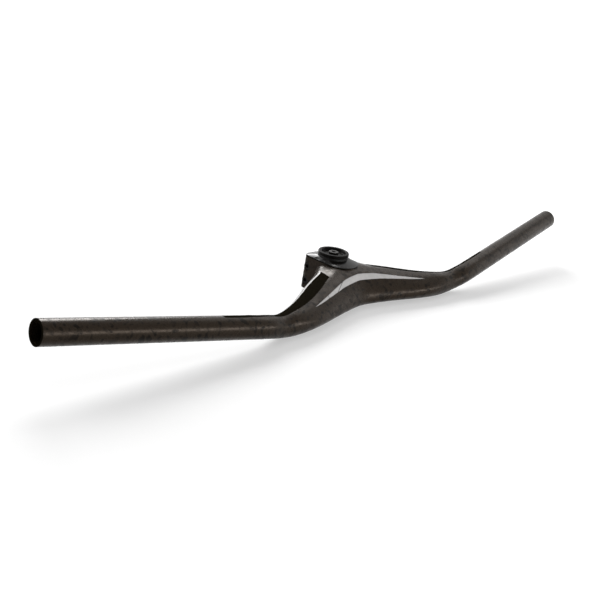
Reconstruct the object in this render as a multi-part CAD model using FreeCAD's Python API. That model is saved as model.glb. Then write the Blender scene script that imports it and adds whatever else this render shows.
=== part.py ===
import FreeCAD, Part
import math
import os

V = FreeCAD.Vector

# One-piece mountain bike handlebar and stem, with its clamp hardware and top cap.
# Lengths are millimetres and angles degrees. Z is the steerer axis, height zero is the
# clamp's lower face, forward is -Y and the bar runs along X.

# Grips
bar_width = 780.0
grip_diameter = 22.2
tube_wall = 2.4
back_sweep = 6.7
up_sweep = 7.9
bend_out = 174.0
bend_ahead = 60.2
bend_height = 16.5
bend_radius = 110.0
bend_lean = 22.0
bend_pitch = 10.0

# Wing between the bends
crease_fade = 95.0
crease_angle = 45.0
shoulder_fullness = 0.98
wing_wall = 2.4

# Steerer clamp
clamp_height = 35.0
clamp_width = 36.6
clamp_rear = 24.7
clamp_corner = 6.0
clamp_side_front = 18.0
clamp_nose = 30.0
clamp_slot = 2.0
steerer_diameter = 28.6
steerer_clearance = 0.05
barrel_wall = 3.6
bore_land = 14.0
relief_length = 10.0
relief_depth = 0.4

# Clamp bolts, washers and threaded inserts
bolt_diameter = 5.0
bolt_head_diameter = 8.5
bolt_head_height = 5.0
bolt_key = 4.0
bolt_key_depth = 2.5
bolt_hole_clearance = 0.25
bolt_behind = 18.6
bolt_low = 8.7
bolt_high = 24.3
bolt_sink = 1.0
bolt_tip_gap = 1.5
washer_diameter = 9.0
washer_thickness = 1.0
insert_diameter = 8.0
insert_length = 9.0
insert_sink = 0.5
pocket_clearance = 0.25
thread_clearance = 0.05

# Top cover
seam_gap = 0.8
seat_width = 1.6
cover_lip = 0.9
cover_rise = 2.4
collar_diameter = 32.4
collar_ledge = 0.4
collar_height = 2.2
cover_clearance = 0.3

# Top cap and its bolt
cap_diameter = 32.8
cap_thickness = 3.4
cap_gap = 0.4
cap_chamfer = 0.6
cap_seat_inset = 0.8
cap_dish_diameter = 26.0
cap_dish_slope = 1.4
cap_dish_depth = 2.8
spigot_length = 1.5
spigot_clearance = 0.4
cap_bolt_diameter = 6.0
cap_bolt_length = 25.0
cap_bolt_head_diameter = 10.0
cap_bolt_head_height = 2.6
cap_bolt_key = 4.0
cap_bolt_key_depth = 1.8
cap_hole_clearance = 0.3

# Sizes that follow from the ones above
grip_r = grip_diameter / 2
grip_start = bend_out + bend_pitch
steerer_r = steerer_diameter / 2 + steerer_clearance
clamp_half = clamp_width / 2
sweep_run = math.tan(math.radians(back_sweep))
rise_run = math.tan(math.radians(up_sweep))
grip_axis = V(1, sweep_run, rise_run).normalize()
cover_bore_r = steerer_r + cover_clearance
seat_r = cover_bore_r + seat_width
cover_base = clamp_height + seam_gap
collar_base = cover_base + cover_lip + cover_rise
collar_top = collar_base + collar_height
dish_floor = collar_top + cap_thickness - cap_dish_depth
bolt_pocket_depth = bolt_sink + bolt_head_height + washer_thickness
insert_pocket_depth = insert_sink + insert_length

# Wing stations from the centre plane to the bend: distance out, then for each guide line
# how far ahead of the steerer axis it runs and its height. Crown and crease are measured
# down from the clamp's top face, nose, belly and tail up from its lower face.
wing_stations = (
    (0.0, (27.0, 0.0), (36.2, -3.4), (51.9, 7.6), (42.5, -0.6), (-10.0, 22.0)),
    (19.0, (21.0, 0.0), (38.7, -4.6), (54.4, 7.4), (43.7, -0.6), (-4.6, 22.0)),
    (31.0, (26.0, -2.3), (41.6, -6.1), (56.8, 7.4), (45.3, -0.7), (3.6, 19.4)),
    (48.0, (31.5, -4.7), (47.2, -8.6), (60.5, 7.5), (48.1, -1.0), (12.0, 17.6)),
    (72.0, (39.8, -8.1), (54.7, -12.3), (66.0, 8.0), (52.8, -1.8), (23.2, 15.6)),
    (98.0, (50.0, -11.3), (61.2, -14.5), (70.3, 8.7), (57.2, -2.7), (35.7, 13.8)),
    (122.0, (57.8, -13.4), (66.0, -15.7), (71.0, 9.4), (59.2, -3.0), (44.9, 12.4)),
)

# Bezier handles that make a true quarter circle and, as a share of the chord, an eighth
QUARTER = 0.5523
CHORD = 0.3465
# How the crease and the full shoulder die away on the way out to crease_fade
CREASE_POWER = 3
SHOULDER_POWER = 0.6
# Each curve of a lofted section is cut in this many parts, so its long faces facet evenly
PARTS = 3
# The wing's last section and the grip's end circle differ by less than this
JOIN_TOLERANCE = 0.01


def unit(v):
    return v * (1 / v.Length)


def bezier(start, start_handle, end_handle, end):
    curve = Part.BezierCurve()
    curve.setPoles([start, start_handle, end_handle, end])
    return curve.toShape()


def parted(edges):
    pieces = []
    for edge in edges:
        first, last = edge.ParameterRange
        step = (last - first) / PARTS
        for k in range(PARTS):
            pieces.append(Part.Edge(edge.Curve, first + k * step, first + (k + 1) * step))
    return Part.Wire(pieces)


def between(first, second, share):
    return first * (1 - share) + second * share


def closed_section(keys, sharpness, fullness, place):
    # Five curves through crown, crease, nose, belly and tail; x is ahead, y is height.
    crown, crease, nose, belly, tail = keys
    to_crease = unit(crease - crown)
    to_nose = unit(nose - crease)
    smooth = unit(to_crease + to_nose)
    arriving = unit(between(smooth, to_crease, sharpness))
    leaving = unit(between(smooth, to_nose, sharpness))
    top_reach = CHORD * (crease - crown).Length
    front_reach = CHORD * (nose - crease).Length
    forward = V(1, 0, 0)
    upward = V(0, 1, 0)
    nose_drop = QUARTER * (nose.y - belly.y)
    belly_front = QUARTER * (nose.x - belly.x)
    belly_rear = QUARTER * (belly.x - tail.x)
    tail_drop = QUARTER * (tail.y - belly.y)
    tail_rise = fullness * (crown.y - tail.y)
    crown_rear = fullness * (crown.x - tail.x)
    curves = (
        (crown, crown + forward * top_reach, crease - arriving * top_reach, crease),
        (crease, crease + leaving * front_reach, nose + upward * front_reach, nose),
        (nose, nose - upward * nose_drop, belly + forward * belly_front, belly),
        (belly, belly - forward * belly_rear, tail - upward * tail_drop, tail),
        (tail, tail + upward * tail_rise, crown - forward * crown_rear, crown),
    )
    return parted([bezier(*[place(p) for p in poles]) for poles in curves])


def inset_keys(keys, wall):
    crown, crease, nose, belly, tail = keys
    run = unit(unit(crease - crown) + unit(nose - crease))
    inward = V(run.y, -run.x, 0)
    return (
        crown - V(0, wall, 0),
        crease + inward * wall,
        nose - V(wall, 0, 0),
        belly + V(0, wall, 0),
        tail + V(wall, 0, 0),
    )


def station_keys(row):
    crown, crease, nose, belly, tail = [V(ahead, height, 0) for ahead, height in row[1:]]
    top = V(0, clamp_height, 0)
    return (crown + top, crease + top, nose, belly, tail)


def circle_keys(r):
    angle = math.radians(crease_angle)
    crease = V(r * math.cos(angle), r * math.sin(angle), 0)
    return (V(0, r, 0), crease, V(r, 0, 0), V(0, -r, 0), V(-r, 0, 0))


def mirrored(v, side):
    return V(v.x * side, v.y, v.z)


def grip_point(out):
    along = out - bend_out
    return V(out, -bend_ahead + sweep_run * along, bend_height + rise_run * along)


def bend_point(out):
    # Inward of the bend's end the centre line leaves the grip's axis, back and down.
    offset = max(0.0, bend_out - out) ** 2 / (2 * bend_radius)
    lean = math.radians(bend_lean)
    return grip_point(out) + V(0, offset * math.cos(lean), -offset * math.sin(lean))


def tube_place(out, side):
    centre = bend_point(out)
    along = unit(bend_point(out + 1) - bend_point(out - 1))
    up = unit(V(0, 0, 1) - along * along.z)
    back = up.cross(along)
    return lambda p: mirrored(centre - back * p.x + up * p.y, side)


def wing_section(row, side, wall):
    out = row[0]
    keys = station_keys(row)
    if wall > 0:
        # The cavity stays ahead of the barrel round the steerer.
        keys = inset_keys(keys, wall)
        keys[4].x = max(keys[4].x, steerer_r + barrel_wall)
    sharpness = max(0.0, 1 - (out / crease_fade) ** CREASE_POWER)
    extra = max(0.0, 1 - (out / crease_fade) ** SHOULDER_POWER)
    fullness = between(QUARTER, shoulder_fullness, extra)
    return closed_section(keys, sharpness, fullness, lambda p: V(side * out, -p.x, p.y))


def tube_section(out, side, r):
    return closed_section(circle_keys(r), 0.0, QUARTER, tube_place(out, side))


def wing_loft(wall, tube_r):
    # The outside is one smooth loft; the cavity runs straight from station to station.
    straight = wall > 0
    tube_outs = [grip_start - bend_pitch * k for k in (4, 3, 2, 1, 0)]
    left = [tube_section(out, -1, tube_r) for out in reversed(tube_outs)]
    left += [wing_section(row, -1, wall) for row in reversed(wing_stations[1:])]
    right = [wing_section(row, 1, wall) for row in wing_stations]
    right += [tube_section(out, 1, tube_r) for out in tube_outs]
    return Part.makeLoft(left + right, True, straight)


def grip_cylinder(r, side):
    start = grip_point(grip_start)
    end = grip_point(bar_width / 2 - grip_r * math.sqrt(1 - grip_axis.x ** 2))
    axis = mirrored(grip_axis, side)
    return Part.makeCylinder(r, (end - start).Length, mirrored(start, side), axis)


def bar_form(wing_inset, tube_r):
    grips = [grip_cylinder(tube_r, side) for side in (-1, 1)]
    return wing_loft(wing_inset, tube_r).fuse(grips, JOIN_TOLERANCE)


def clamp_edges(height):
    # Rear flat, corner, side, nose and back again, as six edges from the rear left corner.
    c = clamp_corner
    w = clamp_half
    slant = c * math.sqrt(0.5)
    rear = clamp_rear
    front = -clamp_side_front
    points = {
        "rear_left": V(-w + c, rear, height),
        "rear_right": V(w - c, rear, height),
        "right": V(w, rear - c, height),
        "right_front": V(w, front, height),
        "left_front": V(-w, front, height),
        "left": V(-w, rear - c, height),
    }
    right_mid = V(w - c + slant, rear - c + slant, height)
    left_mid = V(-w + c - slant, rear - c + slant, height)
    nose_mid = V(0, -clamp_nose, height)
    return [
        Part.makeLine(points["rear_left"], points["rear_right"]),
        Part.Arc(points["rear_right"], right_mid, points["right"]).toShape(),
        Part.makeLine(points["right"], points["right_front"]),
        Part.Arc(points["right_front"], nose_mid, points["left_front"]).toShape(),
        Part.makeLine(points["left_front"], points["left"]),
        Part.Arc(points["left"], left_mid, points["rear_left"]).toShape(),
    ]


def clamp_prism(low, high):
    return Part.Face(Part.Wire(clamp_edges(low))).extrude(V(0, 0, high - low))


def disc(r, low, high):
    return Part.makeCylinder(r, high - low, V(0, 0, low))


def cross_cylinder(r, x_from, x_to, height):
    return Part.makeCylinder(r, x_to - x_from, V(x_from, bolt_behind, height), V(1, 0, 0))


def hexagon(across_flats, centre, axis, depth):
    circle_r = across_flats / math.sqrt(3)
    side_way = V(0, 1, 0) if abs(axis.y) < 0.5 else V(1, 0, 0)
    other = axis.cross(side_way)
    corners = []
    for k in range(7):
        turn = math.radians(60 * k)
        corners.append(centre + (side_way * math.cos(turn) + other * math.sin(turn)) * circle_r)
    return Part.Face(Part.makePolygon(corners)).extrude(axis * depth)


def bar_stem():
    body = bar_form(0.0, grip_r)
    body = body.fuse(clamp_prism(0.0, clamp_height))
    body = body.cut(bar_form(wing_wall, grip_r - tube_wall))
    body = body.cut(clamp_prism(clamp_height, 2 * clamp_height))
    body = body.cut(disc(steerer_r, -clamp_height, 2 * clamp_height))
    body = body.cut(disc(steerer_r + relief_depth, bore_land, bore_land + relief_length))
    slot_corner = V(-clamp_slot / 2, 0, -clamp_height)
    body = body.cut(Part.makeBox(clamp_slot, 2 * clamp_rear, 3 * clamp_height, slot_corner))
    pocket_r = washer_diameter / 2 + pocket_clearance
    insert_r = insert_diameter / 2 + pocket_clearance
    hole_r = bolt_diameter / 2 + bolt_hole_clearance
    for height in (bolt_low, bolt_high):
        body = body.cut(cross_cylinder(hole_r, -clamp_half, clamp_half, height))
        body = body.cut(cross_cylinder(pocket_r, -clamp_width, -clamp_half + bolt_pocket_depth, height))
        body = body.cut(cross_cylinder(insert_r, clamp_half - insert_pocket_depth, clamp_width, height))
    return body


def clamp_bolts():
    bolts = []
    head_out = -clamp_half + bolt_sink
    head_in = head_out + bolt_head_height
    tip = clamp_half - insert_sink - bolt_tip_gap
    for height in (bolt_low, bolt_high):
        head = cross_cylinder(bolt_head_diameter / 2, head_out, head_in, height)
        shank = cross_cylinder(bolt_diameter / 2, head_in, tip, height)
        key = hexagon(bolt_key, V(head_out, bolt_behind, height), V(1, 0, 0), bolt_key_depth)
        bolts.append(head.fuse(shank).cut(key))
    return Part.makeCompound(bolts)


def clamp_washers():
    washers = []
    inner = -clamp_half + bolt_pocket_depth
    for height in (bolt_low, bolt_high):
        plate = cross_cylinder(washer_diameter / 2, inner - washer_thickness, inner, height)
        hole = cross_cylinder(bolt_diameter / 2 + bolt_hole_clearance, inner - 2 * washer_thickness,
                              inner + washer_thickness, height)
        washers.append(plate.cut(hole))
    return Part.makeCompound(washers)


def clamp_inserts():
    inserts = []
    outer = clamp_half - insert_sink
    for height in (bolt_low, bolt_high):
        barrel = cross_cylinder(insert_diameter / 2, outer - insert_length, outer, height)
        thread = cross_cylinder(bolt_diameter / 2 + thread_clearance, 0, clamp_width, height)
        inserts.append(barrel.cut(thread))
    return Part.makeCompound(inserts)


def collar_edges(r, height):
    # The collar's circle cut into six arcs that face the six edges of the clamp's outline.
    rear_turn = math.atan2(clamp_rear - clamp_corner, clamp_half)
    flat_turn = math.atan2(clamp_rear, clamp_half - clamp_corner)
    front_turn = math.atan2(-clamp_side_front, clamp_half)
    turns = [math.pi - flat_turn, flat_turn, rear_turn, front_turn,
             -math.pi - front_turn, -math.pi - rear_turn, -math.pi - flat_turn]
    arcs = []
    for first, last in zip(turns, turns[1:]):
        ends = [V(r * math.cos(a), r * math.sin(a), height) for a in (first, (first + last) / 2, last)]
        arcs.append(Part.Arc(*ends).toShape())
    return arcs


def top_cover():
    lip_top = cover_base + cover_lip
    ledge_r = collar_diameter / 2 + collar_ledge
    seat = disc(seat_r, clamp_height, lip_top)
    lip = clamp_prism(cover_base, lip_top)
    slope_wires = [parted(clamp_edges(lip_top)), parted(collar_edges(ledge_r, collar_base))]
    slope = Part.makeLoft(slope_wires, True, True)
    collar = disc(collar_diameter / 2, lip_top, collar_top)
    cover = seat.fuse(lip).fuse(slope).fuse(collar)
    return cover.cut(disc(cover_bore_r, 0, 2 * collar_top))


def turned(profile):
    points = [V(r, 0, z) for r, z in profile]
    face = Part.Face(Part.makePolygon(points + points[:1]))
    return face.revolve(V(0, 0, 0), V(0, 0, 1), 360)


def top_cap():
    rim_r = cap_diameter / 2
    top = collar_top + cap_thickness
    seat = collar_diameter / 2 - cap_seat_inset
    spigot_r = cover_bore_r - spigot_clearance
    hole_r = cap_bolt_diameter / 2 + cap_hole_clearance
    dish_r = cap_dish_diameter / 2
    return turned([
        (hole_r, collar_top - spigot_length),
        (spigot_r, collar_top - spigot_length),
        (spigot_r, collar_top),
        (seat, collar_top),
        (seat, collar_top + cap_gap),
        (rim_r, collar_top + cap_gap),
        (rim_r, top - cap_chamfer),
        (rim_r - cap_chamfer, top),
        (dish_r, top),
        (dish_r - cap_dish_slope, dish_floor),
        (hole_r, dish_floor),
    ])


def top_cap_bolt():
    head_top = dish_floor + cap_bolt_head_height
    head = disc(cap_bolt_head_diameter / 2, dish_floor, head_top)
    shank = disc(cap_bolt_diameter / 2, dish_floor - cap_bolt_length, dish_floor)
    key = hexagon(cap_bolt_key, V(0, 0, head_top), V(0, 0, -1), cap_bolt_key_depth)
    return head.fuse(shank).cut(key)


os.makedirs("parts", exist_ok=True)
for make in (bar_stem, top_cover, top_cap, top_cap_bolt, clamp_bolts, clamp_washers, clamp_inserts):
    shape = make()
    shape.exportStep("parts/" + make.__name__ + ".step")
    solids = len(shape.Solids)
    print(make.__name__, "solids", solids, "volume", round(shape.Volume), "valid", shape.isValid())
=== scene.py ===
# %% [markdown]
# # A one-piece carbon handlebar
# A mountain bike's handlebar and stem can be moulded as one piece of carbon. The measured solids
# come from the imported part. This lesson lights and frames them and gives them their finishes, and
# only the cover is modelled anew. Lengths are metres, in the part's own axes: +X runs to the
# right seen from the front, +Z up the steerer, and the wing points forward along -Y.

# %% Load the frame
import math
import bmesh
import bpy
from mathutils import Matrix, Vector


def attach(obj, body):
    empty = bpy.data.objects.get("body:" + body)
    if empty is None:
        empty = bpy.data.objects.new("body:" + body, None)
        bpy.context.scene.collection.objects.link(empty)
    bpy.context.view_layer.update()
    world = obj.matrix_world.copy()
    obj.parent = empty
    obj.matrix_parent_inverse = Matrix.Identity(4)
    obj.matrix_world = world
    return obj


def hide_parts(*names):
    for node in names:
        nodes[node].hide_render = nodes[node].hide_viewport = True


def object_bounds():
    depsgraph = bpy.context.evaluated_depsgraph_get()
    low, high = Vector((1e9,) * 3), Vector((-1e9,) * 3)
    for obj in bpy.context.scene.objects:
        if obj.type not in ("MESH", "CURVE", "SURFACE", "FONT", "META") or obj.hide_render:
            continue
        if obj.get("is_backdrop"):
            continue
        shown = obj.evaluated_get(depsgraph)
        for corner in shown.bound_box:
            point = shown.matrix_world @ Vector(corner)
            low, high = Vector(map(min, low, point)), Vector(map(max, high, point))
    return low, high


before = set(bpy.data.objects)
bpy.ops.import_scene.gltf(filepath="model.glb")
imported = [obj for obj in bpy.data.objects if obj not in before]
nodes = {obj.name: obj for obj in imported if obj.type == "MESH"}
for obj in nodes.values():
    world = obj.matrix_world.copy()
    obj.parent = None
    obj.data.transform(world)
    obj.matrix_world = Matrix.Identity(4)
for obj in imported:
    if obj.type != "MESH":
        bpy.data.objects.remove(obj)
cad_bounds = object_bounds()
print("frame nodes", sorted(nodes))

# %% [markdown]
# ## The camera
# The bar is seen from its left front and about twenty degrees above, and the camera leans, so
# that the bar climbs to the right. A camera could be turned by hand until the view fits. This
# one is built from a few angles, an aim and a distance, so that each of them can be set alone.

# %% Place the camera
camera_azimuth = math.radians(50.40)
camera_elevation = math.radians(20.67)
camera_roll = math.radians(9.08)
camera_aim = Vector((-0.0212, 0.0176, -0.0135))
camera_distance = 1.0813
camera_lens = 60.73

level_part = math.cos(camera_elevation)
view_way = Vector((level_part * math.sin(camera_azimuth),
                   level_part * math.cos(camera_azimuth),
                   -math.sin(camera_elevation)))
upright = view_way.to_track_quat("-Z", "Y").to_matrix()
leaning = Matrix.Rotation(-camera_roll, 3, view_way) @ upright
camera_spot = camera_aim - view_way * camera_distance

camera_data = bpy.data.cameras.new("photo_camera")
camera_data.lens = camera_lens
camera = bpy.data.objects.new("photo_camera", camera_data)
camera.matrix_world = Matrix.Translation(camera_spot) @ leaning.to_4x4()
bpy.context.scene.collection.objects.link(camera)
bpy.context.scene.camera = camera
print("camera stands at", [round(v, 3) for v in camera_spot])

# %% [markdown]
# ## Node helpers
# The floor, the world and every finish are small node trees. They could be wired one line at a
# time. Four helpers keep them short: one starts a material, one adds a node, one gives a socket
# a link or a value, and one does a sum.

# %% Helpers for node trees
def new_material(name):
    material = bpy.data.materials.new(name)
    material.use_nodes = True
    material.node_tree.nodes.clear()
    return material, material.node_tree


def add(tree, kind, **settings):
    node = tree.nodes.new("ShaderNode" + kind)
    for key, value in settings.items():
        setattr(node, key, value)
    return node


def feed(tree, socket, value):
    if isinstance(value, bpy.types.NodeSocket):
        tree.links.new(value, socket)
    else:
        socket.default_value = value


def calc(tree, operation, *values):
    node = add(tree, "Math", operation=operation)
    for socket, value in zip(node.inputs, values):
        feed(tree, socket, value)
    return node.outputs[0]


print("node helpers", [helper.__name__ for helper in (new_material, add, feed, calc)])

# %% [markdown]
# ## The floor
# The bar lies on a plain pale floor. A curved backdrop could hide the horizon as well, but one
# large square just under the bar's lowest point is simpler, and it takes the shadow.

# %% Lay the floor
floor_drop = 0.0002
floor_reach = 15.0
floor_height = cad_bounds[0][2] - floor_drop

floor_mesh = bpy.data.meshes.new("floor")
bm = bmesh.new()
bmesh.ops.create_grid(bm, x_segments=1, y_segments=1, size=floor_reach)
bmesh.ops.translate(bm, verts=bm.verts, vec=(0, 0, floor_height))
bm.to_mesh(floor_mesh)
bm.free()
floor = bpy.data.objects.new("floor", floor_mesh)
bpy.context.scene.collection.objects.link(floor)
floor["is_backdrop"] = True
print("floor at height", round(floor_height, 4))

# %% [markdown]
# ## The floor's white
# A studio floor turns white when much light falls on it, but that much light would burn out the
# silver paint. So the floor is a matt pale paint, and rays from the camera or from a mirroring
# surface get some white added. More is added further out: the shadow stays near the bar, and
# the floor meets the white world without a line.

# %% Tell which rays show the background
def seen_or_mirrored(tree):
    path = add(tree, "LightPath")
    mirrored = calc(tree, "MAXIMUM", path.outputs["Is Glossy Ray"], path.outputs["Is Transmission Ray"])
    return calc(tree, "MAXIMUM", path.outputs["Is Camera Ray"], mirrored)


print("background helper", seen_or_mirrored.__name__)

# %% Whiten the floor
floor_paint = (0.64, 0.64, 0.64, 1)
near_white = 0.42
far_white = 1.0
near_edge = 0.3
far_edge = 1.2

floor_finish, tree = new_material("pale_floor")
paint = add(tree, "BsdfDiffuse")
paint.inputs["Color"].default_value = floor_paint
place = add(tree, "TexCoord")
distance = add(tree, "VectorMath", operation="LENGTH")
feed(tree, distance.inputs[0], place.outputs["Object"])
lift = add(tree, "MapRange", interpolation_type="SMOOTHSTEP")
lift.inputs["From Min"].default_value = near_edge
lift.inputs["From Max"].default_value = far_edge
lift.inputs["To Min"].default_value = near_white
lift.inputs["To Max"].default_value = far_white
feed(tree, lift.inputs["Value"], distance.outputs["Value"])
glow = add(tree, "Emission")
feed(tree, glow.inputs["Strength"], calc(tree, "MULTIPLY", seen_or_mirrored(tree), lift.outputs[0]))
both = add(tree, "AddShader")
feed(tree, both.inputs[0], paint.outputs[0])
feed(tree, both.inputs[1], glow.outputs[0])
out = add(tree, "OutputMaterial")
feed(tree, out.inputs["Surface"], both.outputs[0])
floor_mesh.materials.append(floor_finish)
print("white added to the floor:", near_white, "near the bar and", far_white, "far out")

# %% [markdown]
# ## The world
# A white room is bright to look at, and a dark coat mirrors it. If it also lit the bar as
# strongly as it looks, the bar's forms would go flat. So the world is white where it is seen or
# mirrored, and only a dim light for everything else, which leaves the forms to the lamps.

# %% Set the world
room_light = 0.12
room_white = 1.0

world = bpy.data.worlds.new("soft_room")
bpy.context.scene.world = world
world.use_nodes = True
tree = world.node_tree
tree.nodes.clear()
shade = add(tree, "MapRange")
shade.inputs["To Min"].default_value = room_light
shade.inputs["To Max"].default_value = room_white
feed(tree, shade.inputs["Value"], seen_or_mirrored(tree))
room = add(tree, "Background")
room.inputs["Color"].default_value = (room_white, room_white, room_white, 1)
feed(tree, room.inputs["Strength"], shade.outputs[0])
out = add(tree, "OutputWorld")
feed(tree, out.inputs["Surface"], room.outputs[0])
print("room light", room_light, "and", room_white, "where it is seen or mirrored")

# %% [markdown]
# ## The lamps
# Dark satin carbon shows little but what it mirrors. Small lamps would leave hard spots on it, so
# six softboxes draw soft bands instead: two behind for the top edges, two on the right for the
# far arm, a long low one in front for the tubes, and a broad one overhead. Each is turned
# towards the clamp, and the camera doesn't see them. The view transform is Standard, so that a
# colour renders about as it is written.

# %% Hang the lamps
def softbox(name, place, width, height, power):
    data = bpy.data.lights.new(name, "AREA")
    data.shape = "RECTANGLE"
    data.size = width
    data.size_y = height
    data.energy = power
    lamp = bpy.data.objects.new(name, data)
    lamp.visible_camera = False
    way = (-Vector(place)).to_track_quat("-Z", "Y")
    lamp.matrix_world = Matrix.Translation(place) @ way.to_matrix().to_4x4()
    bpy.context.scene.collection.objects.link(lamp)


softbox("rear_box", place=(0.76, 1.40, 1.16), width=1.05, height=1.05, power=44)
softbox("rear_left_box", place=(-0.65, 1.35, 0.95), width=1.2, height=0.7, power=10)
softbox("side_box", place=(1.05, 0.18, 0.92), width=0.6, height=0.32, power=1.0)
softbox("right_box", place=(0.90, -0.30, 0.22), width=0.35, height=0.3, power=0.25)
softbox("front_box", place=(0.22, -1.15, 0.15), width=1.6, height=0.30, power=12)
softbox("top_box", place=(-0.3, -0.3, 1.6), width=1.4, height=1.4, power=4)
bpy.context.scene.view_settings.view_transform = "Standard"

# %% [markdown]
# ## The moulding
# Grips, wing and steerer clamp are one carbon moulding. Its solid comes as loose triangles, which
# would shade as facets. It could be modelled again, but its form is exact already. So a copy has
# its points merged and its flat faces joined. Smooth shading then runs up to the real edges, and
# the satin coat reflects evenly. The copy stands in for the solid.

# %% Merge a solid's triangles
merge_distance = 1e-6
flat_angle = math.radians(0.05)


def merged_copy(name, node):
    mesh = nodes[node].data.copy()
    mesh.name = name
    mesh.materials.clear()
    bm = bmesh.new()
    bm.from_mesh(mesh)
    bmesh.ops.remove_doubles(bm, verts=bm.verts, dist=merge_distance)
    bmesh.ops.dissolve_limit(bm, angle_limit=flat_angle, verts=bm.verts, edges=bm.edges)
    bm.to_mesh(mesh)
    bm.free()
    return mesh


moulding_mesh = merged_copy("moulding", "bar_stem")
print("moulding merged to", len(moulding_mesh.polygons), "faces")

# %% Put the moulding in place of its solid
sharp_angle = math.radians(28)


def dressed(name, mesh, node):
    mesh.shade_smooth()
    mesh.set_sharp_from_angle(angle=sharp_angle)
    piece = bpy.data.objects.new(name, mesh)
    bpy.context.scene.collection.objects.link(piece)
    weights = piece.modifiers.new("even_normals", "WEIGHTED_NORMAL")
    weights.keep_sharp = True
    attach(piece, "root")
    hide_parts(node)
    return piece


moulding = dressed("moulding", moulding_mesh, "bar_stem")
print("moulding size", [round(v, 4) for v in moulding.dimensions])

# %% [markdown]
# ## Guide lines for the paint
# On the real bar the paint is masked along smooth lines that run from the clamp out to the
# grips, alike on both arms. A picture on an unwrapped surface could hold it, but its edges would
# blur close up. Here a line is a curve over the distance out from the middle. It gives a height,
# or a distance ahead, and a mask is 1 on one side of it and 0 on the other.

# %% Start the moulding's finish
carbon_finish, skin = new_material("satin_carbon")
skin_place = add(skin, "TexCoord")
skin_parts = add(skin, "SeparateXYZ")
feed(skin, skin_parts.inputs[0], skin_place.outputs["Object"])
across, along, height = skin_parts.outputs
out_distance = calc(skin, "ABSOLUTE", across)
ahead = calc(skin, "MULTIPLY", along, -1.0)
print("finish started", carbon_finish.name)

# %% Draw a guide line
mm = 0.001


def guide(points):
    # The points are in millimetres: the distance out, then the line's height or distance ahead.
    reach = points[-1][0]
    most = max(value for _, value in points)
    spots = [(out / reach, value / most) for out, value in points]
    node = add(skin, "FloatCurve")
    curve = node.mapping.curves[0]
    curve.points[0].location = spots[0]
    curve.points[1].location = spots[-1]
    for spot in spots[1:-1]:
        curve.points.new(*spot)
    node.mapping.update()
    feed(skin, node.inputs["Value"], calc(skin, "DIVIDE", out_distance, reach * mm))
    return calc(skin, "MULTIPLY", node.outputs[0], most * mm)


print("guide lines are drawn in units of", mm)

# %% Mask one side of a line
mask_softness = 0.2 * mm


def above(value, edge, softness=mask_softness):
    step = add(skin, "MapRange", interpolation_type="SMOOTHSTEP")
    step.inputs["From Min"].default_value = -softness
    step.inputs["From Max"].default_value = softness
    feed(skin, step.inputs["Value"], calc(skin, "SUBTRACT", value, edge))
    return step.outputs[0]


def all_of(*masks):
    result = masks[0]
    for mask in masks[1:]:
        result = calc(skin, "MULTIPLY", result, mask)
    return result


def any_of(*masks):
    result = masks[0]
    for mask in masks[1:]:
        result = calc(skin, "MAXIMUM", result, mask)
    return result


print("mask edges are", 2 * mask_softness, "wide")

# %% [markdown]
# ## The silver stripe
# A silver stripe fills the top of the wing's front face, from the crease down, and runs to a
# point on each arm. It could be a thin solid, but paint has no thickness to see, so it is a mask
# between guide lines. Two thin slits cut it on the left arm only.

# %% Mask the stripe
stripe_low = ((0, 26.4), (20, 25.5), (30, 25.0), (41, 24.1), (53, 23.2), (65, 22.2), (75, 21.3),
              (90, 20.5))
stripe_high = ((0, 31.7), (19, 30.5), (31, 29.0), (48, 26.5), (72, 22.9), (90, 20.5))
stripe_front = ((0, 33.0), (31, 38.0), (48, 43.5), (72, 51.0), (90, 55.0))
stripe_tip = 90 * mm

stripe = all_of(above(height, guide(stripe_low)),
                above(guide(stripe_high), height),
                above(ahead, guide(stripe_front)),
                above(stripe_tip, out_distance))
print("stripe reaches", stripe_tip, "out")

# %% Cut the slits
slit_width = 0.5 * mm
slits = (((29.0, 29.7), (42.0, 24.5)), ((62.5, 24.3), (63.0, 22.4)))

right_arm = above(across, 0.0)
for start, end in slits:
    run = (Vector(end) - Vector(start)).normalized()
    past_start = calc(skin, "SUBTRACT", out_distance, start[0] * mm)
    over_start = calc(skin, "SUBTRACT", height, start[1] * mm)
    off_slit = calc(skin, "ADD",
                    calc(skin, "MULTIPLY", past_start, -run.y),
                    calc(skin, "MULTIPLY", over_start, run.x))
    clear = above(calc(skin, "ABSOLUTE", off_slit), slit_width / 2)
    stripe = all_of(stripe, any_of(clear, right_arm))
print("slits cut", len(slits))

# %% [markdown]
# ## The black bands and their painted highlights
# A matt black band follows each rear shoulder from the clamp to the grip. Under it, a thin line of
# the silver paint is a painted highlight, where the rounded rear edge would catch the light from
# behind. They could be strips laid on the surface, which would stand proud of it. As masks they
# share their front edge and their ends, and only their heights differ. The band's front edge lies
# a little further ahead on the left arm than on the right.

# %% Mask the bands and their painted highlight lines
band_low = ((0, 36.0), (31, 31.3), (48, 28.5), (72, 24.6), (98, 21.2), (122, 19.0), (144, 19.3),
            (160, 22.2), (174, 25.0), (212, 30.4))
# Lower edge of the painted highlight: a thin silver line under each band stands in for light on the
# rounded rear edge.
highlight_line_low = ((0, 35.2), (31, 30.4), (48, 27.1), (72, 22.8), (98, 19.4), (122, 17.2), (144, 18.0),
            (160, 22.2), (174, 25.0), (212, 30.4))
band_front = ((0, 14.0), (36, 28.0), (63, 40.4), (91, 51.0), (107, 55.6), (122, 58.6), (134, 60.0),
              (150, 60.6), (174, 60.0), (212, 55.5))
band_start = 28 * mm
band_slant = 0.3
band_end = 210 * mm
band_shift = 2.6 * mm

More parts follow.
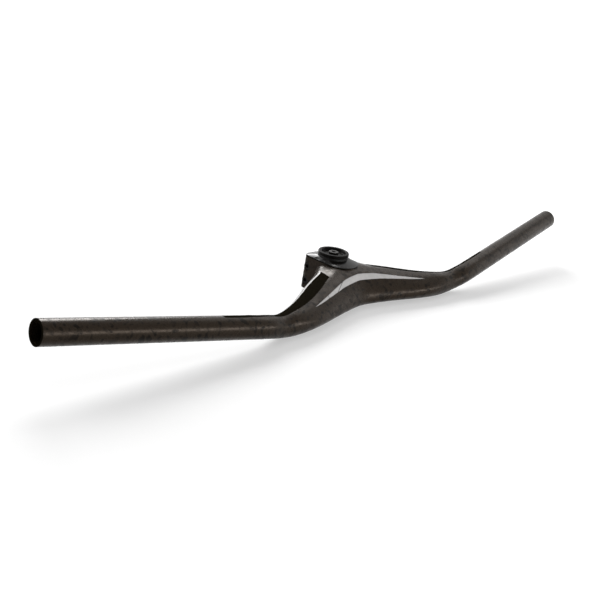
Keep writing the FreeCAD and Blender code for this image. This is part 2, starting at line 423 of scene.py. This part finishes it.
side_shift = add(skin, "MapRange")
side_shift.inputs["From Min"].default_value = -band_end
side_shift.inputs["From Max"].default_value = band_end
side_shift.inputs["To Min"].default_value = band_shift
side_shift.inputs["To Max"].default_value = -band_shift
feed(skin, side_shift.inputs["Value"], across)
front_edge = calc(skin, "ADD", guide(band_front), side_shift.outputs[0])
inner_end = calc(skin, "MULTIPLY_ADD", ahead, band_slant, band_start)
shoulder = all_of(above(front_edge, ahead),
                  above(out_distance, inner_end),
                  above(band_end, out_distance))
band_height = guide(band_low)
band = all_of(shoulder, above(height, band_height))
# Painted highlight: silver paint between the band and the line below it, where the shoulder's rear edge
# would catch light.
painted_highlight_line = all_of(shoulder, above(height, guide(highlight_line_low)), above(band_height, height))
print("bands end", band_end, "out")

# %% [markdown]
# ## Cut ends, and painted shade under the cover
# The tubes' sawn ends are inked matt black. The clamp's top face shows only through the thin gap
# under the cover's lip, so the ink there is painted shade that darkens the gap. Their faces could
# be picked for a second material. Two more masks do the same by place, and the moulding keeps
# one finish.

# %% Mask the cut ends
back_sweep = math.radians(6.7)
up_sweep = math.radians(7.9)
cut_depth = 0.3 * mm

grip_axis = Vector((1, math.tan(back_sweep), math.tan(up_sweep))).normalized()
grip_end = max(Vector((abs(v.co.x), v.co.y, v.co.z)).dot(grip_axis) for v in moulding_mesh.vertices)
folded = add(skin, "CombineXYZ")
feed(skin, folded.inputs["X"], out_distance)
feed(skin, folded.inputs["Y"], along)
feed(skin, folded.inputs["Z"], height)
along_grip = add(skin, "VectorMath", operation="DOT_PRODUCT")
feed(skin, along_grip.inputs[0], folded.outputs[0])
along_grip.inputs[1].default_value = grip_axis
cut_end = above(along_grip.outputs["Value"], grip_end - cut_depth)
print("grips end", round(grip_end, 4), "along their axis")

# %% Mask the face under the cover, painted shade in the gap
clamp_top = 35.0 * mm
top_margin = 0.03 * mm
top_softness = 0.01 * mm
cover_half = 18.2 * mm
cover_ahead = 17.5 * mm

# Painted shade: the ink darkens the clamp's top face, which is seen only through the gap under the
# cover.
painted_gap_shade = all_of(above(height, clamp_top - top_margin, top_softness),
                     above(cover_half, out_distance),
                     above(along, -cover_ahead))
print("clamp's top face at", clamp_top)

# %% [markdown]
# ## Chopped carbon
# The moulding is pressed from short flakes of carbon fibre. Each flake lies its own way and
# catches the light a little differently. A photograph of such a sheet could be wrapped round,
# with seams. Here two layers of long cells lie on opposite slants, with fine fibres along them,
# and a noise bends both. The tone that they give sets the colour and the gloss of each flake.

# %% Bend the bed that the flakes lie in
swirl_grain = 45
swirl_reach = 9 * mm

swirl = add(skin, "TexNoise")
swirl.inputs["Scale"].default_value = swirl_grain
feed(skin, swirl.inputs["Vector"], skin_place.outputs["Object"])
bent = add(skin, "VectorMath", operation="MULTIPLY_ADD")
feed(skin, bent.inputs[0], swirl.outputs["Color"])
bent.inputs[1].default_value = (swirl_reach, swirl_reach, swirl_reach)
feed(skin, bent.inputs[2], skin_place.outputs["Object"])
print("flakes are moved by up to", round(swirl_reach, 4))

# %% Lay the flakes
flake_turns = ((0.3, 0.9, 0.8), (0.9, -1.0, -0.9))
flake_size = (12.5 * mm, 3.6 * mm, 3.6 * mm)
flake_blend = 0.25
fibre_size = (14.0 * mm, 0.6 * mm, 0.6 * mm)
fibre_share = 1.1


def laid(turn, size):
    # Turned first and then scaled, so that long flakes can lie across the bar.
    lie = add(skin, "Mapping", vector_type="TEXTURE")
    lie.inputs["Rotation"].default_value = turn
    lie.inputs["Scale"].default_value = size
    feed(skin, lie.inputs["Vector"], bent.outputs[0])
    return lie.outputs[0]


layers = []
for turn in flake_turns:
    flakes = add(skin, "TexVoronoi", feature="SMOOTH_F1")
    flakes.inputs["Scale"].default_value = 1.0
    flakes.inputs["Smoothness"].default_value = flake_blend
    feed(skin, flakes.inputs["Vector"], laid(turn, flake_size))
    fibres = add(skin, "TexNoise")
    fibres.inputs["Scale"].default_value = 1.0
    feed(skin, fibres.inputs["Vector"], laid(turn, fibre_size))
    pick = add(skin, "SeparateColor")
    feed(skin, pick.inputs[0], flakes.outputs["Color"])
    layers.append(calc(skin, "MULTIPLY_ADD", fibres.outputs["Fac"], fibre_share, pick.outputs[0]))
tone = calc(skin, "DIVIDE", calc(skin, "ADD", *layers), len(layers))
print("flakes", round(flake_size[0], 4), "long in", len(layers), "layers")

# %% Colour the flakes
# A colour ramp ends at 1, so flakes with a higher tone share one colour and differ in gloss alone.
dark_tone = 0.70
light_tone = 1.0
dark_flake = (0.0040, 0.0024, 0.0011, 1)
light_flake = (0.022, 0.0155, 0.0103, 1)

flake_colour = add(skin, "ValToRGB")
dark_stop, light_stop = flake_colour.color_ramp.elements
dark_stop.position = dark_tone
dark_stop.color = dark_flake
light_stop.position = light_tone
light_stop.color = light_flake
feed(skin, flake_colour.inputs["Fac"], tone)
print("flakes darken below a tone of", light_tone)

# %% Set the gloss of the flakes
top_tone = 1.42
dull_flake = 0.40
bright_flake = 0.22

flake_gloss = add(skin, "MapRange")
flake_gloss.inputs["From Min"].default_value = dark_tone
flake_gloss.inputs["From Max"].default_value = top_tone
flake_gloss.inputs["To Min"].default_value = dull_flake
flake_gloss.inputs["To Max"].default_value = bright_flake
feed(skin, flake_gloss.inputs["Value"], tone)
print("flake roughness from", bright_flake, "to", dull_flake)

# %% [markdown]
# ## Carbon, silver and ink
# The moulding shows three finishes: carbon under a satin coat, silver paint and matt black ink.
# Each could be a material of its own on its own faces, but the paint's edges cross the faces. So
# three shaders lie in one tree and the masks choose between them. Paint is never one flat
# colour, so a faint noise makes silver and ink a little lighter and darker from place to place.

# %% Helpers for a finish
cloud_span = (0.3, 0.7)


def clouded(tree, place, colour, depth, grain):
    noise = add(tree, "TexNoise")
    noise.inputs["Scale"].default_value = grain
    feed(tree, noise.inputs["Vector"], place.outputs["Object"])
    ramp = add(tree, "ValToRGB")
    for stop, position, share in zip(ramp.color_ramp.elements, cloud_span, (1 - depth, 1 + depth)):
        stop.position = position
        stop.color = (colour[0] * share, colour[1] * share, colour[2] * share, 1)
    feed(tree, ramp.inputs["Fac"], noise.outputs["Fac"])
    return ramp.outputs["Color"]


def finish_shader(tree, colour, roughness, specular, metallic=0.0):
    shader = add(tree, "BsdfPrincipled")
    feed(tree, shader.inputs["Base Color"], colour)
    feed(tree, shader.inputs["Roughness"], roughness)
    shader.inputs["Specular IOR Level"].default_value = specular
    shader.inputs["Metallic"].default_value = metallic
    return shader.outputs[0]


print("finish helpers", clouded.__name__, finish_shader.__name__)

# %% Mix the moulding's finish
# The silver paint also draws the painted highlight under each band.
silver_paint_and_highlight = (0.46, 0.45, 0.445)
# The black ink also paints shade in the gap under the cover.
black_ink_and_gap_shade = (0.009, 0.0075, 0.005)

carbon = finish_shader(skin, flake_colour.outputs["Color"], flake_gloss.outputs[0],
                       specular=0.09, metallic=0.36)
silver = finish_shader(skin, clouded(skin, skin_place, silver_paint_and_highlight, depth=0.05, grain=260),
                       roughness=0.38, specular=0.3)
ink = finish_shader(skin, clouded(skin, skin_place, black_ink_and_gap_shade, depth=0.25, grain=500),
                    roughness=0.6, specular=0.0)
painted = add(skin, "MixShader")
# Silver paint fills the stripe and the painted highlight line under each band.
feed(skin, painted.inputs["Fac"], any_of(stripe, painted_highlight_line))
feed(skin, painted.inputs[1], carbon)
feed(skin, painted.inputs[2], silver)
inked = add(skin, "MixShader")
# The ink covers the bands and the cut ends, and paints shade on the face under the cover.
feed(skin, inked.inputs["Fac"], any_of(band, cut_end, painted_gap_shade))
feed(skin, inked.inputs[1], painted.outputs[0])
feed(skin, inked.inputs[2], ink)
out = add(skin, "OutputMaterial")
feed(skin, out.inputs["Surface"], inked.outputs[0])
moulding_mesh.materials.append(carbon_finish)
print("moulding finished with", carbon_finish.name, "of", len(skin.nodes), "nodes")

# %% [markdown]
# ## Finishes of the hardware
# The cover is black anodised with a satin collar, the cap is gloss black, bolts and washers are
# blackened steel, and the inserts are plain alloy. One colour and one gloss each would look like
# plastic. So a fine noise changes the gloss a little, as on machined metal, and a coarser one
# the colour.

# %% Mix the hardware's finishes
gloss_drift = 0.15
colour_drift = 0.12
coarser = 3


def plain_finish(name, colour, roughness, specular, metallic, grain):
    material, tree = new_material(name)
    place = add(tree, "TexCoord")
    noise = add(tree, "TexNoise")
    noise.inputs["Scale"].default_value = grain
    feed(tree, noise.inputs["Vector"], place.outputs["Object"])
    gloss = add(tree, "MapRange")
    gloss.inputs["To Min"].default_value = roughness * (1 - gloss_drift)
    gloss.inputs["To Max"].default_value = roughness * (1 + gloss_drift)
    feed(tree, gloss.inputs["Value"], noise.outputs["Fac"])
    tint = clouded(tree, place, colour, colour_drift, grain / coarser)
    out = add(tree, "OutputMaterial")
    feed(tree, out.inputs["Surface"], finish_shader(tree, tint, gloss.outputs[0], specular, metallic))
    return material


anodised = plain_finish("black_anodised", colour=(0.005, 0.0045, 0.0040), roughness=0.18,
                        specular=0.15, metallic=0.0, grain=400)
gloss_black = plain_finish("gloss_black", colour=(0.004, 0.0035, 0.003), roughness=0.25,
                           specular=0.03, metallic=0.0, grain=400)
satin_black = plain_finish("satin_black", colour=(0.003, 0.0027, 0.0024), roughness=0.4,
                           specular=0.15, metallic=0.0, grain=400)
steel = plain_finish("black_steel", colour=(0.009, 0.008, 0.007), roughness=0.4,
                     specular=0.1, metallic=0.0, grain=300)
alloy = plain_finish("plain_alloy", colour=(0.6, 0.6, 0.6), roughness=0.35,
                     specular=0.5, metallic=1.0, grain=300)
print("hardware finishes", [m.name for m in (anodised, gloss_black, satin_black, steel, alloy)])

# %% [markdown]
# ## Cap, bolts, washers and inserts
# These are turned parts, and no turned part has a perfectly sharp edge: a small rounding catches
# a line of light. It could be left to the solids, but it is too small for them. So each copy
# has its sharp edges bevelled by a quarter of a millimetre, in two steps.

# %% Round and finish the hardware
edge_angle = math.radians(35)
edge_rounding = 0.25 * mm
edge_steps = 2
hardware = (("cap", "top_cap", "anodised", gloss_black),
            ("cap_bolt", "top_cap_bolt", "bolt_steel", steel),
            ("side_bolts", "clamp_bolts", "bolt_steel", steel),
            ("side_washers", "clamp_washers", "bolt_steel", steel),
            ("side_inserts", "clamp_inserts", "insert_alloy", alloy))


def round_edges(mesh):
    bm = bmesh.new()
    bm.from_mesh(mesh)
    edges = [e for e in bm.edges if e.is_manifold and e.calc_face_angle() > edge_angle]
    bmesh.ops.bevel(bm, geom=edges, offset=edge_rounding, offset_type="OFFSET", segments=edge_steps,
                    profile=0.5, affect="EDGES", material=-1, clamp_overlap=True)
    bm.to_mesh(mesh)
    bm.free()


for name, node, slot, finish in hardware:
    mesh = merged_copy(name, node)
    round_edges(mesh)
    dressed(name, mesh, node)
    mesh.materials.append(finish)
    print(name, len(mesh.polygons), "faces in", finish.name)

# %% [markdown]
# ## The cover
# The cover sits on the clamp. A thin lip follows the clamp's outline, a shallow slope rises from it
# to a round collar, and a bore lets the steerer through. The solid's own triangles shade
# unevenly where the slope turns a rounded square into a circle. So the cover is raised from one
# ring of points: it is extruded again and again, and each new ring moves to the lip, the slope,
# the collar or the bore. The quads stay even, and the slope reflects cleanly.

# %% Follow the clamp's outline
outline_half = 18.3 * mm
outline_rear = 24.7 * mm
outline_corner = 6.0 * mm
nose_start = -18.0 * mm
nose_centre = -10.05 * mm
nose_radius = 19.95 * mm
tiny = 1e-9


def reach_to_circle(towards_centre, centre_distance, radius):
    return towards_centre + math.sqrt(towards_centre ** 2 - centre_distance ** 2 + radius ** 2)


def outline_reach(turn):
    # How far the outline lies from the steerer's axis in one direction.
    to_side = abs(math.cos(turn))
    to_rear = math.sin(turn)
    reach = min(outline_half / max(to_side, tiny), outline_rear / max(to_rear, tiny))
    corner_x = outline_half - outline_corner
    corner_y = outline_rear - outline_corner
    if reach * to_side > corner_x and reach * to_rear > corner_y:
        towards = to_side * corner_x + to_rear * corner_y
        return reach_to_circle(towards, math.hypot(corner_x, corner_y), outline_corner)
    if reach * to_rear < nose_start:
        return reach_to_circle(to_rear * nose_centre, abs(nose_centre), nose_radius)
    return reach


print("outline reaches", round(outline_reach(math.pi / 2), 4), "to the rear")

# %% List the cover's rings
lip_low = 35.8 * mm
lip_high = 36.7 * mm
lip_bevel = 0.3 * mm
lip_nick = 0.1 * mm
lip_inset = 0.4 * mm
slope_top = 39.1 * mm
slope_steps = 8
ledge_radius = 16.6 * mm
ledge_rise = 0.1 * mm
collar_radius = 16.2 * mm
collar_top = 41.3 * mm
collar_bevel = 0.3 * mm
bore_radius = 14.65 * mm
seat_radius = 16.25 * mm
seat_low = 35.0 * mm

# A ring is its share of the circle, its inset from the outline, the circle's radius and its height.
rings = [(0, 0, 0, lip_high - lip_bevel),
         (0, lip_nick, 0, lip_high - lip_nick)]
for step in range(slope_steps + 1):
    share = step / slope_steps
    rings.append((share, lip_inset, ledge_radius, lip_high + (slope_top - lip_high) * share))
for radius, ring_height in ((collar_radius, slope_top + ledge_rise),
                            (collar_radius, collar_top - collar_bevel),
                            (collar_radius - collar_bevel, collar_top),
                            (bore_radius, collar_top),
                            (bore_radius, seat_low),
                            (seat_radius, seat_low),
                            (seat_radius, lip_low)):
    rings.append((1, 0, radius, ring_height))
rings.append((0, 0, 0, lip_low))
print("cover has", len(rings), "rings")

# %% Raise the cover from its rings
ring_points = 144


def move_to_ring(vert, share, inset, radius, ring_height):
    turn = math.atan2(vert.co.y, vert.co.x)
    reach = (outline_reach(turn) - inset) * (1 - share) + radius * share
    vert.co = (reach * math.cos(turn), reach * math.sin(turn), ring_height)


bm = bmesh.new()
bmesh.ops.create_circle(bm, segments=ring_points, radius=1.0)
edges = list(bm.edges)
for vert in bm.verts:
    move_to_ring(vert, *rings[-1])
for ring in rings:
    made = bmesh.ops.extrude_edge_only(bm, edges=edges)["geom"]
    edges = [part for part in made if isinstance(part, bmesh.types.BMEdge)]
    for vert in [part for part in made if isinstance(part, bmesh.types.BMVert)]:
        move_to_ring(vert, *ring)
bmesh.ops.remove_doubles(bm, verts=bm.verts, dist=merge_distance)
bmesh.ops.recalc_face_normals(bm, faces=bm.faces)
cover_mesh = bpy.data.meshes.new("cover")
bm.to_mesh(cover_mesh)
bm.free()
print("cover", len(cover_mesh.polygons), "faces")

# %% Finish the cover
cover_mesh.materials.append(anodised)
cover_mesh.materials.append(satin_black)
for face in cover_mesh.polygons:
    on_collar = face.center.z > slope_top or face.center.xy.length < ledge_radius
    face.material_index = int(on_collar)
cover = dressed("cover", cover_mesh, "top_cover")
satin_faces = sum(face.material_index for face in cover_mesh.polygons)
print(cover.name, "has a collar and bore of", satin_faces, "faces")

# %% [markdown]
# ## Sizes
# Finishes mustn't change a part's size. The box of the solids, kept since the start, is compared with
# the box of the dressed part, and the largest change is printed.

# %% Note the sizes and finish
visual_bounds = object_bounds()
changes = [abs(new - old) for box in zip(visual_bounds, cad_bounds) for new, old in zip(*box)]
print("largest change of the box", round(max(changes), 6))
